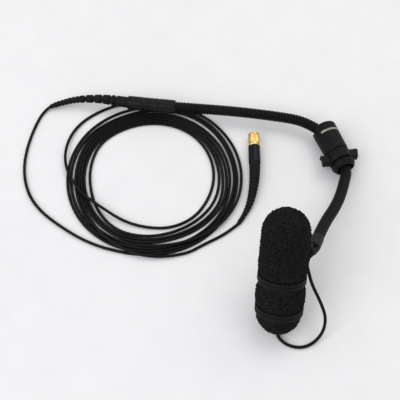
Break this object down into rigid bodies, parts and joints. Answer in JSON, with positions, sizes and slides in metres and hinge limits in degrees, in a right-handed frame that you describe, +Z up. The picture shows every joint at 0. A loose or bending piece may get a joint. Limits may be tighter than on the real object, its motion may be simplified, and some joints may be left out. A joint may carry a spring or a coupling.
{
  "type": "instrument gooseneck microphone",
  "caption": "Miniature clip-on microphone on a flexible gooseneck, with foam windscreen held in rubber bands, gripping slider, strain relief and a thin coiled lead with a screw connector.",
  "frame": {"origin": "on the table, under the middle of the gooseneck, slider and head without the free lead", "axes": "+Z up from the table; +X along the gooseneck from the lead's strain relief to the slider; the head leans up at the front, towards -Y"},
  "size_m": [0.1842, 0.1488, 0.0559],
  "materials": {
    "boot_rubber": "satin",
    "ferrule_black": "semi-gloss",
    "neck_black": "satin",
    "cable_black": "gloss",
    "slider_black": "satin",
    "slider_mark": "satin",
    "soft_rubber": "matte",
    "band_rubber": "satin",
    "foam": "matte",
    "gold": "polished",
    "steel": "satin",
    "insulator": "satin",
    "tube_black": "matte",
    "board": "gloss"
  },
  "bodies": {
    "tail": {"strain_boot": "boot_rubber", "ferrule_rear": "ferrule_black", "ferrule_middle": "ferrule_black", "ferrule_front": "ferrule_black", "crimp_tube": "steel", "neck_1": "neck_black", "cable_in_neck_1": "cable_black", "lead_out": "cable_black", "lead_coil": "cable_black", "lead_in": "cable_black", "connector_boot": "boot_rubber", "connector_barrel": "ferrule_black", "plug_body": "steel", "plug_insulator": "insulator", "centre_pin": "gold", "retaining_ring": "steel"},
    "nut": {"coupling_nut": "gold"},
    "neck_a": {"neck_2": "neck_black", "cable_in_neck_2": "cable_black"},
    "neck_b": {"neck_3": "neck_black", "cable_in_neck_3": "cable_black"},
    "grip": {"neck_4": "neck_black", "cable_in_neck_4": "cable_black"},
    "slider": {"slider_barrel": "slider_black", "slider_end_cap": "slider_black", "friction_sleeve": "soft_rubber", "slider_nose": "slider_black", "slider_mark": "slider_mark"},
    "collar": {"wing_collar": "slider_black"},
    "neck_c": {"neck_5": "neck_black", "cable_in_neck_5": "cable_black"},
    "neck_d": {"neck_6": "neck_black", "cable_in_neck_6": "cable_black"},
    "neck_e": {"neck_7": "neck_black", "cable_in_neck_7": "cable_black"},
    "neck_f": {"neck_8": "neck_black", "cable_in_neck_8": "cable_black", "swivel_pin": "steel"},
    "head": {"swivel_housing": "slider_black", "band_carrier": "slider_black", "front_band": "band_rubber", "rear_band": "band_rubber", "cable_loop": "cable_black"},
    "mic": {"windscreen": "foam", "mic_tube": "tube_black", "capsule_case": "tube_black", "capsule_grid": "steel", "diaphragm": "gold", "spacer_ring": "insulator", "backplate": "steel", "preamp_board": "board", "rear_cap": "slider_black", "cable_gland": "soft_rubber"}
  },
  "joints": [
    {"name": "lead_side_bend_1", "type": "hinge", "parent": "tail", "child": "neck_a", "pos_m": [0.0075, 0.0603, 0.007], "axis": [0, 0, 1], "range_deg": [-3, 10]},
    {"name": "lead_side_bend_2", "type": "hinge", "parent": "neck_a", "child": "neck_b", "pos_m": [0.027, 0.0581, 0.007], "axis": [0, 0, 1], "range_deg": [-3, 10]},
    {"name": "lead_side_bend_3", "type": "hinge", "parent": "neck_b", "child": "grip", "pos_m": [0.0455, 0.0552, 0.007], "axis": [0, 0, 1], "range_deg": [-3, 10]},
    {"name": "slider_slide", "type": "slide", "parent": "grip", "child": "slider", "axis": [0.3584, -0.9336, 0], "range_m": [-0.0015, 0.0015]},
    {"name": "collar_slide", "type": "slide", "parent": "slider", "child": "collar", "axis": [0.3584, -0.9336, 0], "range_m": [0, 0.0012]},
    {"name": "head_side_swing_1", "type": "hinge", "parent": "grip", "child": "neck_c", "pos_m": [0.0772, 0.0127, 0.0082], "axis": [0, 0, 1], "range_deg": [-8, 10]},
    {"name": "head_side_lift_1", "type": "hinge", "parent": "neck_c", "child": "neck_d", "pos_m": [0.0734, 0.0013, 0.0117], "axis": [-0.8997, 0.4365, 0], "range_deg": [0, 15]},
    {"name": "head_side_swing_2", "type": "hinge", "parent": "neck_d", "child": "neck_e", "pos_m": [0.0685, -0.0088, 0.0162], "axis": [0, 0, 1], "range_deg": [-8, 10]},
    {"name": "head_side_lift_2", "type": "hinge", "parent": "neck_e", "child": "neck_f", "pos_m": [0.0626, -0.0187, 0.0214], "axis": [-0.912, 0.4101, 0], "range_deg": [0, 15]},
    {"name": "head_turn", "type": "hinge", "parent": "neck_f", "child": "head", "pos_m": [0.05752, -0.03, 0.027], "axis": [-0.3738, -0.8312, 0.4117], "range_deg": [-20, 20]},
    {"name": "mic_slide", "type": "slide", "parent": "head", "child": "mic", "axis": [0.0451, 0.614, 0.788], "range_m": [0, 0.002], "deforming": ["cable_loop"]},
    {"name": "nut_spin", "type": "hinge", "parent": "tail", "child": "nut", "pos_m": [0.0302, 0.041, 0.0033], "axis": [0, 1, 0], "continuous": true}
  ],
  "couplings": [
    {"joint": "lead_side_bend_2", "follows": "lead_side_bend_1", "ratio": 1},
    {"joint": "lead_side_bend_3", "follows": "lead_side_bend_1", "ratio": 1},
    {"joint": "head_side_swing_2", "follows": "head_side_swing_1", "ratio": 1},
    {"joint": "head_side_lift_2", "follows": "head_side_lift_1", "ratio": 1}
  ]
}
